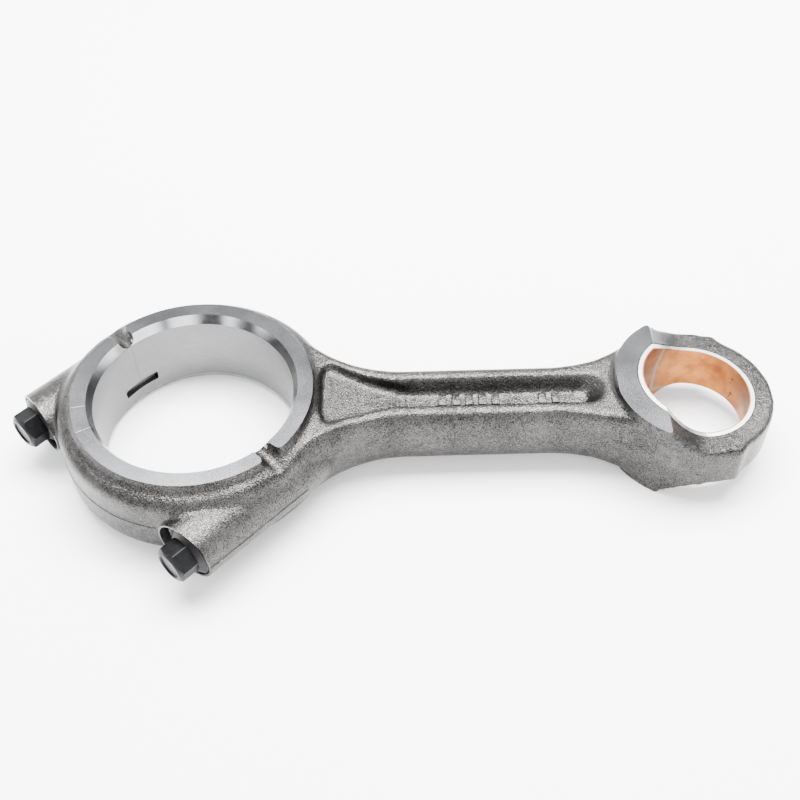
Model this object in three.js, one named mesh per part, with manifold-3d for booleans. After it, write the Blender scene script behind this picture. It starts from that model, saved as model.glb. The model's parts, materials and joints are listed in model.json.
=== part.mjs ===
// Connecting rod of a mid-range diesel engine: one forging, cracked apart across the crank bore
// into rod and cap, with two flanged cap bolts and a bronze-lined piston-pin bush.
//
// Units are millimetres. While a piece is being made, the crank bore's axis is Z at x = y = 0, the
// pin bore's axis is Z at x = CENTRE_DISTANCE, and z = 0 is the mid-plane that the two forging dies
// meet on. The finished group is then moved so that its box stands on z = 0, centred on the origin.

import * as THREE from 'three';
import { mergeVertices } from 'three/addons/utils/BufferGeometryUtils.js';
import Module from 'manifold-3d';

const wasm = await Module();
wasm.setup();

// ---- driving dimensions -------------------------------------------------------------------------

const CENTRE_DISTANCE = 192;       // crank bore axis to pin bore axis

const BIG_END_WIDTH = 36;          // over the two machined thrust faces
const BORE_RADIUS = 38;            // crank bore, without its bearing shells
const BORE_CHAMFER_RADIAL = 1.9;
const BORE_CHAMFER_AXIAL = 3.6;
const THRUST_RADIUS = 45.5;        // outer edge of the machined thrust faces
const FORGED_RADIUS = 52.3;        // outer wall of the big end at the mid-plane
const FORGED_WIDTH = 29;           // as-forged faces outside the thrust rings
const FORGED_ROUNDING = 4.5;

const SPLIT_ANGLE = THREE.MathUtils.degToRad(225);  // way the cap lifts off, from +X
const SPLIT_GAP = 0.3;             // clearance at the cracked joint
const CRACK_CHANNEL_WIDTH = 7;     // valley across the thrust ring at each end of the crack

const BOLT_SPREAD = 44.6;          // bolt axis to bore axis
const BOSS_RADIUS = 11.4;
const BOSS_END = 42;               // from the split plane to the boss's open end
const BOSS_ROOT = 26;              // from the split plane into the rod
const BOSS_TAPER_START = 6;        // from here into the rod the boss narrows
const SEAT = 39;                   // bolt seat, at the bottom of the counterbore
const COUNTERBORE_RADIUS = 10.6;
const BOLT_HOLE_RADIUS = 5.85;
const THREAD_HOLE_END = 22;
const DRILL_POINT = 2;             // cone at the bottom of the threaded hole
const BOLT_RADIUS = 5.5;
const BOLT_TIP = 18;               // from the split plane into the rod
const BOLT_TIP_CHAMFER = 1;
const FLANGE_RADIUS = 10;
const FLANGE_RIM = 2.4;
const HEX_ACROSS_FLATS = 13;
const HEX_FOOT = 4.3;              // seat to the foot of the hexagon
const HEAD_HEIGHT = 11.9;          // seat to the end of the hexagon
const HEX_CHAMFER = 2;
const DISH_RIM = 1.2;              // flat ring between the chamfer and the dish
const DISH_DEPTH = 0.6;

const SHANK_HALF_WIDTH = 13.4;
const SHANK_HALF_THICKNESS = 12.3;
const SHANK_ROUNDING = 4;
const FLARE_START = 80;            // where the shank begins to widen to the big end
const FLARE_LINE = 52;             // bore axis to the flare's straight flank
const RISE_ROOT = 20;              // where the flanges' climb starts, inside the big end
const RISE_PEAK = 47;              // the climb levels off here, at the forged faces
const RISE_BEND = 58;
const RISE_FOOT = 84;
const RISE_INSET = 2;              // keeps the climb inside the shank's rounded flanks
const WEB_HALF_THICKNESS = 6.5;
const POCKET_HALF_WIDTH = 7.2;
const POCKET_FLOOR_HALF_WIDTH = 5.4;
const POCKET_START = 50;
const POCKET_END = 153;
const POCKET_MOUTH = 6.5;          // extra half width where the pocket meets the big end
const POCKET_FLARE = 26;           // length over which the pocket widens
const POCKET_CORNER = 6;           // rounded corners at the small end's side

const SMALL_END_FILLET = 60;       // in plan, between the shank and the small end
const SHANK_OVERLAP = 8;           // the shank ends this far short of the pin axis
const SHANK_OVERLAP_HALF = 20;     // its half width there, inside the small end
const SMALL_END_WIDTH = 36;        // over the machined crescent faces
const SMALL_END_FORGED_WIDTH = 30;
const SMALL_END_RADIUS = 31.5;     // outer edge of the crescent faces
const SMALL_END_ROUNDING = 1;      // edges of the forged part
const NOSE_RADIUS = 30.3;
const SHOULDER_X = 11.5;           // centres of the nose's two shoulders, from the pin axis
const SHOULDER_Y = 26.6;
const SHOULDER_RADIUS = 3.6;
const SHOULDER_BLEND = 0.16;       // radians of nose given up to each shoulder
const STEP_X = 14.9;               // crescent's straight edge, from the pin axis towards the shank
const STEP_DROP = 8.65;            // how far each side steps in towards the nose
const STEP_RUN = 17.2;
const STEP_TAPER = 1.0;            // further drop from the end of the step to the nose

const BUSH_SEAT_RADIUS = 23.2;
const BUSH_OUTER_RADIUS = 22.9;
const BUSH_SHELL_BORE = 21.75;
const LINING_OUTER_RADIUS = 21.45;
const LINING_BORE = 20.85;

const TANG_SLOT_LENGTH = 16;       // along the bore wall, half in the rod and half in the cap
const TANG_SLOT_DEPTH = 1.7;
const TANG_SLOT_HEIGHT = 3.9;
const TANG_SLOT_Z = -8.25;

const OVERCUT = 5;                 // how far a cutter stands out of what it cuts
const SLIVER = 0.2;                // start of the step, just outside the crescent face
const TANG_CUTTER_THICKNESS = 6;
const CAP_CUTTER_SIZE = 200;

const ROUND = 56;                  // sides of a large turned surface
const SMALL_ROUND = 24;            // sides of a bolt or a bolt hole

// ---- from geometry to solid and back --------------------------------------------------------------

function solid(geometry) {
  const bare = geometry.clone();
  bare.deleteAttribute('normal');
  bare.deleteAttribute('uv');
  const merged = mergeVertices(bare, 1e-4);
  const vertProperties = new Float32Array(merged.attributes.position.array);
  const triVerts = new Uint32Array(merged.index.array);
  return new wasm.Manifold(new wasm.Mesh({ numProp: 3, vertProperties, triVerts }));
}

function geometryOf(body) {
  const mesh = body.getMesh();
  const geometry = new THREE.BufferGeometry();
  geometry.setAttribute('position', new THREE.BufferAttribute(new Float32Array(mesh.vertProperties), 3));
  geometry.setIndex(new THREE.BufferAttribute(new Uint32Array(mesh.triVerts), 1));
  geometry.computeVertexNormals();
  return geometry;
}

// A turned solid about the Z axis, from [radius, height] points that run anticlockwise.
function turned(profile, sides = ROUND) {
  const points = profile.map(([radius, height]) => new THREE.Vector2(radius, height));
  points.push(points[0].clone());
  return new THREE.LatheGeometry(points, sides).rotateX(Math.PI / 2);
}

function disc(radius, bottom, top, sides = ROUND) {
  return turned([[0, bottom], [radius, bottom], [radius, top], [0, top]], sides);
}

// A flat shape made thick, centred on the mid-plane, with rounded top and bottom edges.
function slab(shape, thickness, rounding, steps = 3) {
  const geometry = new THREE.ExtrudeGeometry(shape, {
    depth: thickness - 2 * rounding,
    curveSegments: 12,
    bevelEnabled: rounding > 0,
    bevelThickness: rounding,
    bevelSize: rounding,
    bevelOffset: -rounding,
    bevelSegments: steps,
  });
  return geometry.translate(0, 0, rounding - thickness / 2);
}

// Places a solid that was made along +Z so that it runs along the bolts' direction, cap side up.
function alongBolts(geometry, spread) {
  const side = new THREE.Vector3(Math.sin(SPLIT_ANGLE), -Math.cos(SPLIT_ANGLE), 0);
  return geometry
    .rotateY(Math.PI / 2)
    .rotateZ(SPLIT_ANGLE)
    .translate(-side.x * spread, -side.y * spread, 0);
}

// ---- the forging ------------------------------------------------------------------------------------

function bigEndBlank() {
  const shape = new THREE.Shape();
  shape.absarc(0, 0, FORGED_RADIUS, 0, 2 * Math.PI, false);
  const body = solid(slab(shape, FORGED_WIDTH, FORGED_ROUNDING));
  const ring = solid(disc(THRUST_RADIUS, -BIG_END_WIDTH / 2, BIG_END_WIDTH / 2));
  return body.add(ring);
}

function boss(spread) {
  const profile = [
    [0, -BOSS_ROOT],
    [BOSS_RADIUS / 2, -BOSS_ROOT],
    [BOSS_RADIUS, -BOSS_TAPER_START],
    [BOSS_RADIUS, BOSS_END],
    [0, BOSS_END],
  ];
  return solid(alongBolts(turned(profile, SMALL_ROUND), spread));
}

// The shank with its flare: parallel flanks, then an arc each side onto a 45 degree line that
// touches the big end's outer wall.
function shankBlank() {
  const reach = FLARE_LINE * Math.SQRT2;
  const radius = (FLARE_START + SHANK_HALF_WIDTH - reach) / (Math.SQRT2 - 1);
  const arcY = SHANK_HALF_WIDTH + radius;
  const tangent = FLARE_LINE / Math.SQRT2;
  const endX = CENTRE_DISTANCE - SHANK_OVERLAP;
  const filletY = SHANK_HALF_WIDTH + SMALL_END_FILLET;
  const filletX = CENTRE_DISTANCE
    - Math.sqrt((SMALL_END_RADIUS + SMALL_END_FILLET) ** 2 - filletY ** 2);
  const filletAngle = Math.atan2(filletY, CENTRE_DISTANCE - filletX);
  const shape = new THREE.Shape();
  shape.moveTo(0, -tangent);
  shape.lineTo(tangent, -tangent);
  shape.absarc(FLARE_START, -arcY, radius, (3 * Math.PI) / 4, Math.PI / 2, true);
  shape.absarc(filletX, -filletY, SMALL_END_FILLET, Math.PI / 2, filletAngle, true);
  shape.lineTo(endX, -SHANK_OVERLAP_HALF);
  shape.lineTo(endX, SHANK_OVERLAP_HALF);
  shape.absarc(filletX, filletY, SMALL_END_FILLET, -filletAngle, -Math.PI / 2, true);
  shape.absarc(FLARE_START, arcY, radius, -Math.PI / 2, (-3 * Math.PI) / 4, true);
  shape.lineTo(tangent, tangent);
  shape.lineTo(0, tangent);
  return solid(slab(shape, 2 * SHANK_HALF_THICKNESS, SHANK_ROUNDING, 2));
}

// A thicker wedge that lets the flanges climb to the big end's forged faces.
function flareRise() {
  const side = new THREE.Shape();
  const low = SHANK_HALF_THICKNESS - RISE_INSET / 2;
  const high = FORGED_WIDTH / 2;
  side.moveTo(RISE_ROOT, -high);
  side.lineTo(RISE_PEAK, -high);
  side.quadraticCurveTo(RISE_BEND, -low, RISE_FOOT, -low);
  side.lineTo(RISE_FOOT, low);
  side.quadraticCurveTo(RISE_BEND, low, RISE_PEAK, high);
  side.lineTo(RISE_ROOT, high);
  const across = 2 * FORGED_RADIUS;
  const block = new THREE.ExtrudeGeometry(side, {
    depth: across, curveSegments: 6, bevelEnabled: false,
  });
  const tangent = FLARE_LINE / Math.SQRT2;
  const corner = tangent - RISE_INSET;
  const foot = SHANK_HALF_WIDTH - RISE_INSET;
  const plan = new THREE.Shape();
  plan.moveTo(RISE_ROOT, -tangent);
  plan.lineTo(corner, -corner);
  plan.quadraticCurveTo(RISE_BEND, -SHANK_HALF_WIDTH, RISE_FOOT, -foot);
  plan.lineTo(RISE_FOOT, foot);
  plan.quadraticCurveTo(RISE_BEND, SHANK_HALF_WIDTH, corner, corner);
  plan.lineTo(RISE_ROOT, tangent);
  const wedge = solid(block.rotateX(Math.PI / 2).translate(0, across / 2, 0));
  return wedge.intersect(solid(slab(plan, FORGED_WIDTH, RISE_INSET, 1)));
}

// One long pocket each side leaves the I-section's web.
function pocket() {
  const half = POCKET_HALF_WIDTH;
  const mouth = half + POCKET_MOUTH;
  const mouthX = POCKET_START + POCKET_CORNER;
  const bendX = POCKET_START + POCKET_FLARE / 2;
  const flareX = POCKET_START + POCKET_FLARE;
  const cornerX = POCKET_END - POCKET_CORNER;
  const shape = new THREE.Shape();
  shape.moveTo(mouthX, -mouth);
  shape.quadraticCurveTo(bendX, -half, flareX, -half);
  shape.lineTo(cornerX, -half);
  shape.quadraticCurveTo(POCKET_END, -half, POCKET_END, 0);
  shape.quadraticCurveTo(POCKET_END, half, cornerX, half);
  shape.lineTo(flareX, half);
  shape.quadraticCurveTo(bendX, half, mouthX, mouth);
  shape.quadraticCurveTo(POCKET_START, 0, mouthX, -mouth);
  const depth = SHANK_HALF_THICKNESS - WEB_HALF_THICKNESS;
  const inset = POCKET_HALF_WIDTH - POCKET_FLOOR_HALF_WIDTH;
  const geometry = new THREE.ExtrudeGeometry(shape, {
    depth: FORGED_WIDTH,
    curveSegments: 8,
    bevelThickness: depth,
    bevelSize: inset,
    bevelOffset: -inset,
    bevelSegments: 2,
  });
  return solid(geometry.translate(0, 0, SHANK_HALF_THICKNESS));
}

function smallEndBlank() {
  const shape = new THREE.Shape();
  const nose = Math.atan2(SHOULDER_Y, SHOULDER_X);
  const shoulderX = CENTRE_DISTANCE + SHOULDER_X;
  shape.absarc(CENTRE_DISTANCE, 0, SMALL_END_RADIUS, Math.PI / 2, (3 * Math.PI) / 2, false);
  const cornerX = shoulderX + SHOULDER_RADIUS * Math.cos(nose);
  const cornerY = SHOULDER_Y + SHOULDER_RADIUS * Math.sin(nose);
  const noseAngle = nose - SHOULDER_BLEND;
  shape.lineTo(shoulderX, -SHOULDER_Y - SHOULDER_RADIUS);
  shape.lineTo(cornerX, -cornerY);
  shape.absarc(CENTRE_DISTANCE, 0, NOSE_RADIUS, -noseAngle, noseAngle, false);
  shape.lineTo(cornerX, cornerY);
  shape.lineTo(shoulderX, SHOULDER_Y + SHOULDER_RADIUS);
  const body = solid(slab(shape, SMALL_END_FORGED_WIDTH, SMALL_END_ROUNDING, 1));
  const crescent = disc(SMALL_END_RADIUS, -SMALL_END_WIDTH / 2, SMALL_END_WIDTH / 2);
  return body.add(solid(crescent.translate(CENTRE_DISTANCE, 0, 0)));
}

// Everything above the stepped upper side of the small end; the lower side is its mirror.
// The step starts at a straight edge across the crescent and curves down to the thin nose.
function stepCutter() {
  const top = SMALL_END_WIDTH / 2;
  const startX = CENTRE_DISTANCE - STEP_X;
  const endX = startX + STEP_RUN;
  const noseX = CENTRE_DISTANCE + SMALL_END_RADIUS + OVERCUT;
  const profile = new THREE.Shape();
  profile.moveTo(startX - SLIVER, top + SLIVER);
  profile.lineTo(startX, top);
  profile.quadraticCurveTo(startX + STEP_RUN / 2, top - STEP_DROP, endX, top - STEP_DROP);
  profile.lineTo(noseX, top - STEP_DROP - STEP_TAPER);
  profile.lineTo(noseX, top + OVERCUT);
  profile.lineTo(startX - SLIVER, top + OVERCUT);
  const block = new THREE.ExtrudeGeometry(profile, {
    depth: 4 * SMALL_END_RADIUS, curveSegments: 6, bevelEnabled: false,
  });
  return solid(block.rotateX(Math.PI / 2).translate(0, 2 * SMALL_END_RADIUS, 0));
}

function crankBore() {
  const face = BIG_END_WIDTH / 2;
  const mouth = BORE_RADIUS + BORE_CHAMFER_RADIAL;
  const flare = BORE_CHAMFER_RADIAL / BORE_CHAMFER_AXIAL;
  const end = face + OVERCUT;
  const wide = mouth + flare * OVERCUT;
  return solid(turned([
    [0, -end],
    [wide, -end],
    [BORE_RADIUS, -face + BORE_CHAMFER_AXIAL],
    [BORE_RADIUS, face - BORE_CHAMFER_AXIAL],
    [wide, end],
    [0, end],
  ]));
}

// The valley that crosses each thrust ring above and below the crack.
function crackChannels() {
  const depth = (BIG_END_WIDTH - FORGED_WIDTH) / 2;
  const long = 2 * THRUST_RADIUS + CRACK_CHANNEL_WIDTH;
  const bar = new THREE.BoxGeometry(CRACK_CHANNEL_WIDTH, long, 2 * depth);
  const top = solid(bar.rotateZ(SPLIT_ANGLE).translate(0, 0, BIG_END_WIDTH / 2));
  return top.add(top.mirror([0, 0, 1]));
}

function boltPassage(spread) {
  const profile = [
    [0, -THREAD_HOLE_END - DRILL_POINT],
    [BOLT_HOLE_RADIUS, -THREAD_HOLE_END],
    [BOLT_HOLE_RADIUS, SEAT],
    [COUNTERBORE_RADIUS, SEAT],
    [COUNTERBORE_RADIUS, BOSS_END + OVERCUT],
    [0, BOSS_END + OVERCUT],
  ];
  return solid(alongBolts(turned(profile, SMALL_ROUND), spread));
}

// The notch in the bore wall, beside the crack, that the bearing shells' tangs sit in.
function tangSlot() {
  const box = new THREE.BoxGeometry(TANG_SLOT_LENGTH, TANG_CUTTER_THICKNESS, TANG_SLOT_HEIGHT);
  const middle = BORE_RADIUS + TANG_SLOT_DEPTH - TANG_CUTTER_THICKNESS / 2;
  box.translate(0, -middle, TANG_SLOT_Z);
  return solid(box.rotateZ(SPLIT_ANGLE));
}

function capSide() {
  const box = new THREE.BoxGeometry(CAP_CUTTER_SIZE, CAP_CUTTER_SIZE, CAP_CUTTER_SIZE);
  return solid(box.translate(CAP_CUTTER_SIZE / 2, 0, 0).rotateZ(SPLIT_ANGLE));
}

function forging() {
  const pockets = pocket();
  const steps = stepCutter();
  let body = bigEndBlank().add(shankBlank()).add(flareRise()).add(smallEndBlank());
  body = body.subtract(pockets).subtract(pockets.mirror([0, 0, 1]));
  body = body.subtract(steps).subtract(steps.mirror([0, 0, 1]));
  body = body.add(boss(BOLT_SPREAD)).add(boss(-BOLT_SPREAD));
  body = body.subtract(boltPassage(BOLT_SPREAD)).subtract(boltPassage(-BOLT_SPREAD));
  const pinSeat = disc(BUSH_SEAT_RADIUS, -SMALL_END_WIDTH, SMALL_END_WIDTH);
  body = body.subtract(crankBore()).subtract(solid(pinSeat.translate(CENTRE_DISTANCE, 0, 0)));
  return body.subtract(crackChannels()).subtract(tangSlot());
}

function rodHalf(whole) {
  const half = SPLIT_GAP / 2;
  const keep = capSide().translate([Math.cos(SPLIT_ANGLE) * -half, Math.sin(SPLIT_ANGLE) * -half, 0]);
  return whole.subtract(keep);
}

function capHalf(whole) {
  const half = SPLIT_GAP / 2;
  const keep = capSide().translate([Math.cos(SPLIT_ANGLE) * half, Math.sin(SPLIT_ANGLE) * half, 0]);
  return whole.intersect(keep);
}

// ---- the bush and the bolts -------------------------------------------------------------------------

// A ring of the bush, its ends cut to the small end's stepped sides.
function bushRing(inner, outer) {
  const half = SMALL_END_WIDTH / 2;
  const ring = turned([[inner, -half], [outer, -half], [outer, half], [inner, half]]);
  const steps = stepCutter();
  return solid(ring.translate(CENTRE_DISTANCE, 0, 0)).subtract(steps).subtract(steps.mirror([0, 0, 1]));
}

function capBolt(spread) {
  const seat = SEAT + SPLIT_GAP;
  const flat = HEX_ACROSS_FLATS / 2;
  const corner = HEX_ACROSS_FLATS / Math.sqrt(3);
  const shank = turned([
    [0, -BOLT_TIP],
    [BOLT_RADIUS - BOLT_TIP_CHAMFER, -BOLT_TIP],
    [BOLT_RADIUS, -BOLT_TIP + BOLT_TIP_CHAMFER],
    [BOLT_RADIUS, seat],
    [FLANGE_RADIUS, seat],
    [FLANGE_RADIUS, seat + FLANGE_RIM],
    [corner, seat + HEX_FOOT],
    [0, seat + HEX_FOOT],
  ], SMALL_ROUND);
  const hexagon = turned([
    [0, FLANGE_RIM],
    [corner, FLANGE_RIM],
    [corner, HEAD_HEIGHT],
    [0, HEAD_HEIGHT],
  ], 6);
  const chamfer = turned([
    [0, 0],
    [corner + HEX_CHAMFER, 0],
    [corner + HEX_CHAMFER, HEAD_HEIGHT - HEX_CHAMFER],
    [flat, HEAD_HEIGHT],
    [flat - DISH_RIM, HEAD_HEIGHT],
    [flat - DISH_RIM - DISH_DEPTH, HEAD_HEIGHT - DISH_DEPTH],
    [0, HEAD_HEIGHT - DISH_DEPTH],
  ], SMALL_ROUND);
  const head = solid(hexagon).intersect(solid(chamfer)).translate([0, 0, seat]);
  const whole = solid(shank).add(head);
  return solid(alongBolts(geometryOf(whole), spread));
}

// ---- the assembly -------------------------------------------------------------------------------------

const FORGED_STEEL = { color: 0x8b8a88, roughness: 0.55, metalness: 0.85 };
const BUSH_STEEL = { color: 0xd8d9da, roughness: 0.3, metalness: 0.9 };
const BUSH_BRONZE = { color: 0xc98a5c, roughness: 0.35, metalness: 0.85 };
const BOLT_BLACK = { color: 0x2b2b2d, roughness: 0.45, metalness: 0.6 };

function part(name, body, finish) {
  const mesh = new THREE.Mesh(geometryOf(body), new THREE.MeshStandardMaterial(finish));
  mesh.name = name;
  return mesh;
}

const whole = forging();
const rod = new THREE.Group();
rod.add(part('rod_forging', rodHalf(whole), FORGED_STEEL));
rod.add(part('pin_bush_shell', bushRing(BUSH_SHELL_BORE, BUSH_OUTER_RADIUS), BUSH_STEEL));
rod.add(part('pin_bush_lining', bushRing(LINING_BORE, LINING_OUTER_RADIUS), BUSH_BRONZE));

const cap = new THREE.Group();
cap.add(part('bearing_cap', capHalf(whole), FORGED_STEEL));
cap.add(part('cap_bolt_1', capBolt(BOLT_SPREAD), BOLT_BLACK));
cap.add(part('cap_bolt_2', capBolt(-BOLT_SPREAD), BOLT_BLACK));

const connectingRod = new THREE.Group();
connectingRod.add(rod);
connectingRod.add(cap);
const box = new THREE.Box3().setFromObject(connectingRod);
const centre = box.getCenter(new THREE.Vector3());
connectingRod.position.set(-centre.x, -centre.y, -box.min.z);
connectingRod.updateMatrixWorld(true);

export default connectingRod;
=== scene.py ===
import json
import math

import bpy
from mathutils import Matrix, Vector


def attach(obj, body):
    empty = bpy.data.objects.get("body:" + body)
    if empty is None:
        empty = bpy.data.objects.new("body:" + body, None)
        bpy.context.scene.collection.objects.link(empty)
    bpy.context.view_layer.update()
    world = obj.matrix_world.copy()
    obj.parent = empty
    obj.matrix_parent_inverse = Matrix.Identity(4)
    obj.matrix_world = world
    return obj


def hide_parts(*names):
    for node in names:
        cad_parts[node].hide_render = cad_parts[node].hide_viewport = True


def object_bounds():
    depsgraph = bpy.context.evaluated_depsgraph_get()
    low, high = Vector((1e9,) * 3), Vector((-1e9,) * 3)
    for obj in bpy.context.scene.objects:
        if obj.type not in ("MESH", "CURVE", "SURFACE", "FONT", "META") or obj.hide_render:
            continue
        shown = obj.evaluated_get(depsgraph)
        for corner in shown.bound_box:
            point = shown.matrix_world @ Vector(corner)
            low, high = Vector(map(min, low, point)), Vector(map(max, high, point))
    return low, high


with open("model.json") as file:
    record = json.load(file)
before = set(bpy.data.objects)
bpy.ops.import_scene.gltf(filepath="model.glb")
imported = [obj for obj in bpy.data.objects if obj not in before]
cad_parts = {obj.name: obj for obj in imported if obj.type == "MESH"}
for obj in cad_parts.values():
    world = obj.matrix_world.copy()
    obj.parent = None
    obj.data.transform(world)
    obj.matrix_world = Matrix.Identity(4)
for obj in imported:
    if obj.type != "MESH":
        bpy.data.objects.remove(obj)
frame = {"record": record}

cad_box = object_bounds()

# ---- sizes, in millimetres ----------------------------------------------------------------------
# Plan positions count from the crank bore's axis, +X towards the small end, and heights from the
# forging's mid-plane. Distances along the bolts count from the split plane, the cap's side positive.

MM = 0.001

BORE = 38.0
BORE_MOUTH = 39.9
CHAMFER_DEPTH = 3.6
THRUST_RADIUS = 45.5
DRUM_RADIUS = 52.3
DRUM_FACE = 14.5
DRUM_EDGE = 4.5

SPLIT = math.radians(225)
HAIRLINE = 0.05
CHANNEL_OFFSET = 0.95
BOLT_SPREAD = 44.6
BOSS_RADIUS = 11.4
BOSS_END = 42.0
BOSS_LEAN = math.radians(7.5)
BOSS_OVERLAP = 1.9
BOLT_SEAT = 39.0
COUNTERBORE = 10.5
BOLT_HOLE = 5.85
HOLE_END = 22.0

SHANK_HALF = 13.5
SHANK_LAYERS = ((14.1, 6.0), (13.8, 8.2), (13.2, 10.2), (12.3, 11.8), (11.0, 13.0))
SHANK_CREST = 13.0
SHANK_OVERLAP = 8.0
SHANK_OVERLAP_HALF = 20.0
FLARE_START = 80.0
FLARE_LINE = 52.0
POCKET_FOOT = 4.0
POCKET_DRAFT = 2.7
WEB = 6.5
SMALL_END_FILLET = 60.0

SMALL_END_RADIUS = 31.5
SMALL_END_FACE = 15.0
NOSE_RADIUS = 30.3
SHOULDER_X = 11.5
SHOULDER_Y = 26.6
SHOULDER_RADIUS = 3.6
STEP_X = 14.9
STEP_DROP = 8.65
STEP_RUN = 17.2
BUSH_SEAT = 23.1
BUSH_OUTER = 22.75
BUSH_INNER = 21.25
LINING_OUTER = 21.2
LINING_BORE = 20.85

THREAD_PITCH = 1.25
THREAD_ROWS = 6
THREAD_DEPTH = 0.75
BOLT_TIP = 18.0
THREAD_TOP = 8.0
THREAD_RADIUS = 5.45
WAIST_RADIUS = 5.1
FLANGE_RADIUS = 10.05
HEX_FLATS = 13.0
HEX_FOOT = 4.6
HEX_TURN = math.radians(13)
HEAD_TOP = 12.2

TANG_HALF = 8.0
TANG_DEPTH = 1.7
TANG_LOW = -10.2
TANG_HIGH = -6.3
PAD_ROWS = ((95.0, 5), (133.5, 2))
PAD_PITCH = 5.1
PAD_HALF = 1.5
PAD_NEAR = -2.2
PAD_FAR = 3.9
PAD_RISE = 1.0
SCRIBED_LINES = (-170.0, -154.0)

FORGE_VOXEL = 0.85
FORGE_SOFTENING = 14
MACHINING_STOCK = 1.6
FLASH_PROUD = 0.16
FLASH_HALF = 0.25
SMOOTH_ANGLE = 24.0
PIN_BORE_SIDES = 128
CUTTER_REACH = 45.0
OVERCUT = 2.0

# The camera and the lights are in metres, degrees and watts.
CAMERA_AIM = (0.0786, 0.0074)
CAMERA_AIM_HEIGHT = 0.018
CAMERA_AZIMUTH = 0.66
CAMERA_ELEVATION = 49.02
CAMERA_ROLL = -1.01
CAMERA_DISTANCE = 0.4648
CAMERA_LENS = 53.08
OVER_LIGHT_POWER = 115
FRONT_LIGHT_POWER = 7


def opening_centre(name):
    """The middle of one of the record's openings, which lies on its bore's axis at mid-height."""
    openings = frame["record"]["physics"]["openings"]
    low, high = next(o["box_m"] for o in openings if o["name"] == name)
    return (Vector(low) + Vector(high)) / 2


CRANK = opening_centre("crank_pin_bore")
PIN = opening_centre("piston_pin_bore")
CENTRES = (PIN.x - CRANK.x) / MM
FACE = (cad_box[1].z - cad_box[0].z) / 2 / MM


# ---- modelling helpers --------------------------------------------------------------------------

def deselect():
    if bpy.context.object and bpy.context.object.mode != "OBJECT":
        bpy.ops.object.mode_set(mode="OBJECT")
    bpy.ops.object.select_all(action="DESELECT")


def take(piece):
    """Makes this piece the only selected one, and the active one."""
    deselect()
    piece.select_set(True)
    bpy.context.view_layer.objects.active = piece
    return piece


def place(piece, x=0.0, y=0.0, z=0.0, turn=(0.0, 0.0, 0.0)):
    """Turns a piece and moves it to a place counted from the crank bore's centre. Its object stays at
    the world's origin."""
    take(piece)
    piece.rotation_euler = turn
    piece.location = CRANK + Vector((x, y, z)) * MM
    bpy.ops.object.transform_apply(location=True, rotation=True, scale=True)
    return piece


def modify(piece, kind, **settings):
    take(piece)
    modifier = piece.modifiers.new(kind.title(), kind)
    for key, value in settings.items():
        setattr(modifier, key, value)
    bpy.ops.object.modifier_apply(modifier=modifier.name)
    return piece


def combine(piece, other, operation):
    """A boolean with another piece, which is used up. Cut faces take the other piece's material."""
    modify(piece, "BOOLEAN", operation=operation, object=other, solver="EXACT", material_mode="TRANSFER")
    bpy.data.objects.remove(other, do_unlink=True)
    return piece


def join(pieces):
    take(pieces[0])
    for piece in pieces:
        piece.select_set(True)
    bpy.ops.object.join()
    return bpy.context.object


def copy_of(piece, name):
    take(piece)
    bpy.ops.object.duplicate(linked=False)
    twin = bpy.context.object
    twin.name = name
    return twin


def outward(piece):
    take(piece)
    bpy.ops.object.mode_set(mode="EDIT")
    bpy.ops.mesh.select_all(action="SELECT")
    bpy.ops.mesh.normals_make_consistent(inside=False)
    bpy.ops.object.mode_set(mode="OBJECT")
    return piece


def arc(x, y, radius, start, end, steps=12):
    """Points on an arc, between two angles in degrees."""
    points = []
    for i in range(steps + 1):
        a = math.radians(start + (end - start) * i / steps)
        points.append((x + radius * math.cos(a), y + radius * math.sin(a)))
    return points


def prism(name, outline, low, high):
    """An outline in plan, made thick by one extrusion. It stays at the world's origin until placed."""
    deselect()
    bpy.ops.mesh.primitive_circle_add(vertices=len(outline), radius=MM, fill_type="NGON")
    piece = bpy.context.object
    piece.name = name
    for vertex, (x, y) in zip(piece.data.vertices, outline):
        vertex.co = (x * MM, y * MM, low * MM)
    bpy.ops.object.mode_set(mode="EDIT")
    bpy.ops.mesh.select_all(action="SELECT")
    bpy.ops.mesh.extrude_region_move(TRANSFORM_OT_translate={"value": (0, 0, (high - low) * MM)})
    bpy.ops.object.mode_set(mode="OBJECT")
    return outward(piece)


def turned(name, stations, sides):
    """A solid of revolution about Z: a disc that is extruded and scaled from station to station."""
    radius, height = stations[0]
    deselect()
    bpy.ops.mesh.primitive_circle_add(
        vertices=sides, radius=radius * MM, fill_type="NGON", location=(0, 0, height * MM))
    piece = bpy.context.object
    piece.name = name
    bpy.ops.object.mode_set(mode="EDIT")
    bpy.ops.mesh.select_all(action="SELECT")
    for next_radius, next_height in stations[1:]:
        rise = (0, 0, (next_height - height) * MM)
        bpy.ops.mesh.extrude_region_move(TRANSFORM_OT_translate={"value": rise})
        scale = next_radius / radius
        if scale != 1:
            bpy.ops.transform.resize(value=(scale, scale, 1), center_override=(0, 0, next_height * MM))
        radius, height = next_radius, next_height
    bpy.ops.object.mode_set(mode="OBJECT")
    bpy.ops.object.transform_apply(location=True, rotation=True, scale=True)
    return outward(piece)


def block(name, low, high):
    size = [(b - a) * MM for a, b in zip(low, high)]
    middle = [(a + b) / 2 * MM for a, b in zip(low, high)]
    deselect()
    bpy.ops.mesh.primitive_cube_add(size=1, location=middle)
    piece = bpy.context.object
    piece.name = name
    piece.scale = size
    bpy.ops.object.transform_apply(location=True, rotation=True, scale=True)
    return piece


def pick_points(piece, chosen):
    """Leaves a piece in edit mode with only the chosen points selected."""
    take(piece)
    for polygon in piece.data.polygons:
        polygon.select = False
    for edge in piece.data.edges:
        edge.select = False
    for vertex in piece.data.vertices:
        vertex.select = chosen(vertex.co)
    bpy.ops.object.mode_set(mode="EDIT")


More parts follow.
